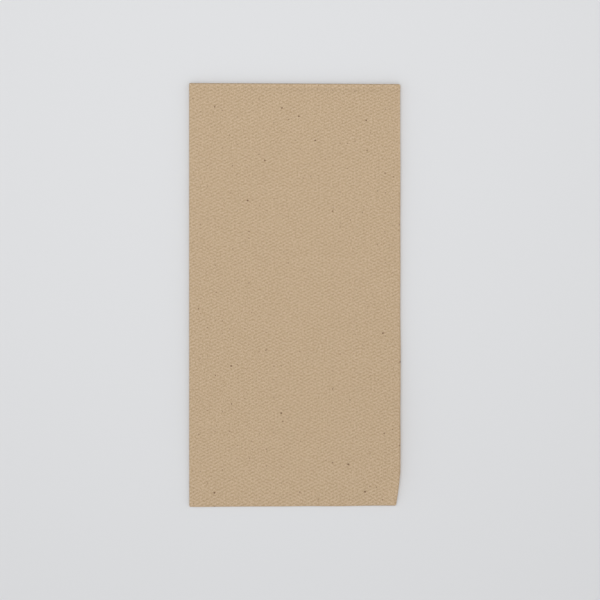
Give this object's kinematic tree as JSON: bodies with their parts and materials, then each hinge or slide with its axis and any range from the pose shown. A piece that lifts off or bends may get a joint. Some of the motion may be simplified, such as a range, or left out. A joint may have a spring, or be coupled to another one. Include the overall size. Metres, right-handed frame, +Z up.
{
  "type": "folded paper napkin",
  "caption": "Square dinner napkin of brown embossed tissue, folded into a flat oblong with closed folds on two sides, for wiping hands and setting a place.",
  "frame": {"origin": "under the middle of the folded napkin, on the surface that it lies on", "axes": "+Z up out of the surface; +Y along the long side, towards the cross fold; +X across, from the two nested folds towards the free edges"},
  "size_m": [0.1004, 0.2008, 0.0021],
  "materials": {
    "kraft_tissue": "unbleached recycled two-ply tissue, matt and soft, embossed all over with small staggered dots"
  },
  "bodies": {
    "root": {"napkin": "kraft_tissue"}
  },
  "joints": []
}
